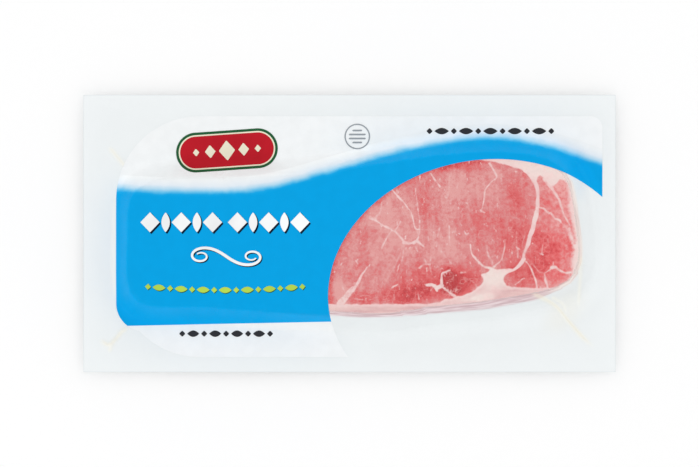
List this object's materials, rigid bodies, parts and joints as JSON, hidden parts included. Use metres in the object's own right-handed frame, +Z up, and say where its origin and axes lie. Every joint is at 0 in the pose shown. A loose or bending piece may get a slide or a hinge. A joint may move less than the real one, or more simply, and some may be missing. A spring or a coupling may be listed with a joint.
{
  "type": "bacon pack",
  "caption": "Flat sealed pack of sliced back bacon in clear film, with white and blue printed fields and an oval clear window.",
  "frame": {"origin": "centre of the pack's box, on the surface that it lies on", "axes": "+X along the pack towards the window, +Y across it, +Z up out of the printed side"},
  "size_m": [0.2666, 0.1388, 0.017],
  "materials": {
    "clear_film": "gloss",
    "bacon": "satin",
    "white_print": "satin",
    "blue_print": "satin"
  },
  "bodies": {
    "root": {"film_pack": "clear_film", "rasher_1": "bacon", "rasher_2": "bacon", "rasher_3": "bacon", "rasher_4": "bacon", "rasher_5": "bacon", "rasher_6": "bacon", "rasher_7": "bacon", "rasher_8": "bacon", "print_white_upper": "white_print", "print_white_lower": "white_print", "print_blue": "blue_print"}
  },
  "joints": []
}
